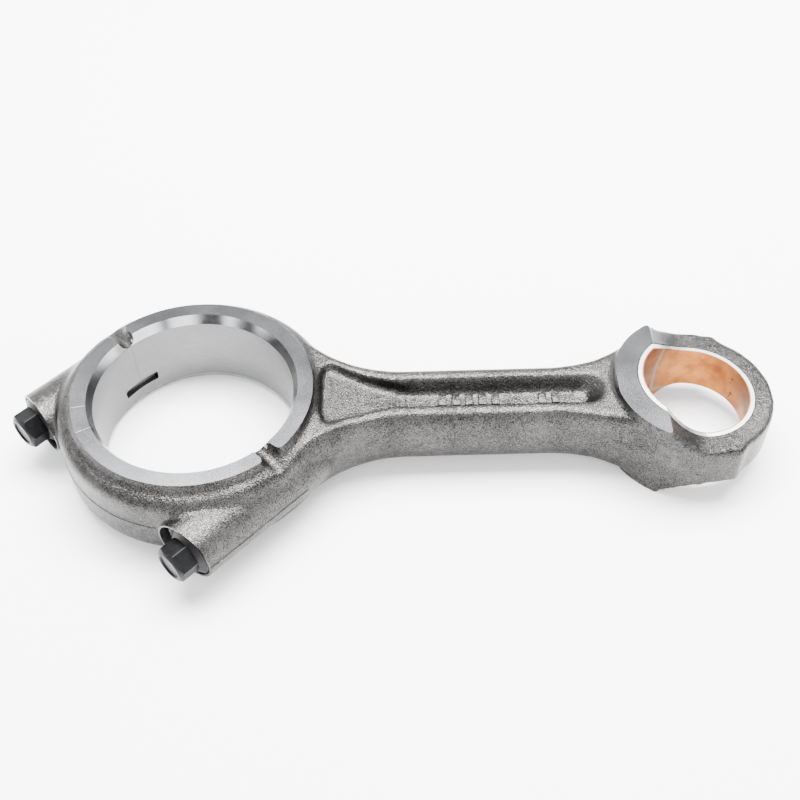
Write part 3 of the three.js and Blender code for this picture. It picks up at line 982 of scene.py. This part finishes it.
def make_bush(finishes):
    shell = bush_ring("shell", BUSH_INNER, BUSH_OUTER)
    wear(shell, finishes["bush_steel"])
    finish_piece(shell, "pin_bush_shell_surface", "rod", ["pin_bush_shell"])
    lining = bush_ring("lining", LINING_BORE, LINING_OUTER)
    wear(lining, finishes["bush_bronze"])
    finish_piece(lining, "pin_bush_lining_surface", "rod", ["pin_bush_lining"])


# ---- the cap bolts ------------------------------------------------------------------------------------

def bolt_shank():
    """A waisted shank with a helical thread at its tip."""
    stations = [(3.6, -BOLT_TIP), (4.6, -BOLT_TIP + 0.9)]
    rows = int((THREAD_TOP + BOLT_TIP - 1) / THREAD_PITCH * THREAD_ROWS)
    for i in range(rows):
        stations.append((4.7, -BOLT_TIP + 1 + i * THREAD_PITCH / THREAD_ROWS))
    stations += [(WAIST_RADIUS, THREAD_TOP + 0.8), (WAIST_RADIUS, BOLT_SEAT - 1.4),
                 (THREAD_RADIUS, BOLT_SEAT - 0.6), (THREAD_RADIUS, BOLT_SEAT + 1)]
    shank = turned("bolt_shank", stations, 32)
    cut_thread(shank)
    return shank


def cut_thread(shank):
    """Lifts each point of the threaded stretch to its place on a helix's flanks."""
    for vertex in shank.data.vertices:
        height = vertex.co.z / MM
        if not -BOLT_TIP + 0.95 < height < THREAD_TOP:
            continue
        turn = math.atan2(vertex.co.y, vertex.co.x) / (2 * math.pi)
        phase = (height / THREAD_PITCH - turn) % 1.0
        lift = 1 - abs(2 * phase - 1)
        radius = THREAD_RADIUS - THREAD_DEPTH * (1 - min(1.0, lift * 1.25))
        plan = Vector((vertex.co.x, vertex.co.y)).normalized() * radius * MM
        vertex.co.x, vertex.co.y = plan


def bolt_head():
    """A flange with a coned top, and a hexagon with a chamfered, dished end."""
    flange = turned("flange", [
        (FLANGE_RADIUS - 0.4, BOLT_SEAT), (FLANGE_RADIUS, BOLT_SEAT + 0.4), (FLANGE_RADIUS, BOLT_SEAT + 2.4),
        (FLANGE_RADIUS - 0.25, BOLT_SEAT + 2.9), (FLANGE_RADIUS - 0.9, BOLT_SEAT + 3.25),
        (HEX_FLATS / 2 + 0.9, BOLT_SEAT + HEX_FOOT), (5.0, BOLT_SEAT + HEX_FOOT)], 64)
    corner = HEX_FLATS / math.sqrt(3)
    top = BOLT_SEAT + HEAD_TOP
    hexagon = turned("hexagon", [(corner, BOLT_SEAT + HEX_FOOT - 2.2), (corner, top)], 6)
    bevel_edges(hexagon, 0.35, 3, 50)
    take(hexagon)
    hexagon.rotation_euler = (0, 0, HEX_TURN)
    bpy.ops.object.transform_apply(rotation=True)
    dome = turned("dome", [
        (corner + 3, BOLT_SEAT), (corner + 3, top - 3.2), (corner - 0.2, top - 1.3),
        (HEX_FLATS / 2 - 0.5, top - 0.2), (HEX_FLATS / 2 - 0.9, top), (HEX_FLATS / 2 - 1.5, top),
        (HEX_FLATS / 2 - 2.0, top - 0.7), (2.0, top - 0.7)], 64)
    combine(hexagon, dome, "INTERSECT")
    return combine(flange, hexagon, "UNION")


def make_bolts(black):
    bolt = combine(bolt_shank(), bolt_head(), "UNION")
    for number, spread in ((1, BOLT_SPREAD), (2, -BOLT_SPREAD)):
        made = wear(copy_of(bolt, "bolt"), black)
        along_bolts(made, spread)
        replaced = f"cap_bolt_{number}"
        finish_piece(made, replaced + "_surface", f"bolt_{number}", [replaced])
    bpy.data.objects.remove(bolt, do_unlink=True)


# ---- the stage ----------------------------------------------------------------------------------------

def make_camera():
    aim = Vector((CRANK.x + CAMERA_AIM[0], CRANK.y + CAMERA_AIM[1], CAMERA_AIM_HEIGHT))
    azimuth = math.radians(CAMERA_AZIMUTH)
    elevation = math.radians(CAMERA_ELEVATION)
    roll = math.radians(CAMERA_ROLL)
    back = Vector((-math.sin(azimuth) * math.cos(elevation),
                   -math.cos(azimuth) * math.cos(elevation), math.sin(elevation)))
    data = bpy.data.cameras.new("camera")
    data.lens = CAMERA_LENS
    data.sensor_width = 36
    data.clip_start = 0.01
    camera = bpy.data.objects.new("camera", data)
    bpy.context.scene.collection.objects.link(camera)
    turn = (-back).to_track_quat("-Z", "Y").to_matrix() @ Matrix.Rotation(roll, 3, "Z")
    camera.matrix_world = Matrix.Translation(aim + back * CAMERA_DISTANCE) @ turn.to_4x4()
    bpy.context.scene.camera = camera


def soft_box(name, place_at, aim, size, power):
    data = bpy.data.lights.new(name, "AREA")
    data.shape = "RECTANGLE"
    data.size, data.size_y = size
    data.energy = power
    lamp = bpy.data.objects.new(name, data)
    bpy.context.scene.collection.objects.link(lamp)
    lamp.location = place_at
    lamp.rotation_euler = (Vector(aim) - Vector(place_at)).to_track_quat("-Z", "Y").to_euler()


def make_stage(paper):
    deselect()
    bpy.ops.mesh.primitive_plane_add(size=8, location=(0, 0, 0))
    floor = bpy.context.object
    floor.name = "floor"
    wear(floor, paper)
    deselect()
    make_world()
    soft_box("over_light", (0.06, 0.33, 1.0), (0.06, 0.33, 0.0), (1.1, 0.6), OVER_LIGHT_POWER)
    soft_box("front_light", (0.05, -0.72, 0.72), (0.05, 0.0, 0.0), (1.2, 0.35), FRONT_LIGHT_POWER)


def make_world():
    """A pale room: even overhead, with light and dark patches low down for the turned edges."""
    world = bpy.data.worlds.new("studio")
    world.use_nodes = True
    tree = world.node_tree
    background = tree.nodes["Background"]
    background.inputs["Color"].default_value = (0.97, 0.98, 1.0, 1)
    where = node(tree, "ShaderNodeTexCoord").outputs["Generated"]
    height = node(tree, "ShaderNodeSeparateXYZ")
    tree.links.new(where, height.inputs["Vector"])
    low = remap(tree, height.outputs["Z"], 0.3, 0.55, 1.0, 0.0)
    patches = node(tree, "ShaderNodeTexNoise")
    patches.inputs["Scale"].default_value = 1.9
    patches.inputs["Detail"].default_value = 1.0
    tree.links.new(where, patches.inputs["Vector"])
    clutter = remap(tree, patches.outputs["Fac"], 0.42, 0.58, 0.17, 7.0)
    even = math_node(tree, "MULTIPLY", math_node(tree, "SUBTRACT", 1.0, low), 1.7)
    strength = math_node(tree, "ADD", even, math_node(tree, "MULTIPLY", low, clutter))
    tree.links.new(strength, background.inputs["Strength"])
    bpy.context.scene.world = world


# ---- everything together --------------------------------------------------------------------------------

def make_everything():
    shot_blast = make_shot_blast_group()
    turning = make_turning_group()
    finishes = {
        "forged": make_forged_skin(shot_blast),
        "ground": make_ground_face(shot_blast),
        "chamfer": make_turned_chamfer(turning),
        "bored": make_bored_wall(shot_blast),
        "spot": make_spot_face(turning),
        "cracked": make_cracked_face(),
        "bush_steel": make_bush_steel(),
        "bush_bronze": make_bush_bronze(),
    }
    make_forgings(finishes)
    make_bush(finishes)
    make_bolts(make_bolt_black())
    make_camera()
    make_stage(make_floor_paper())


make_everything()
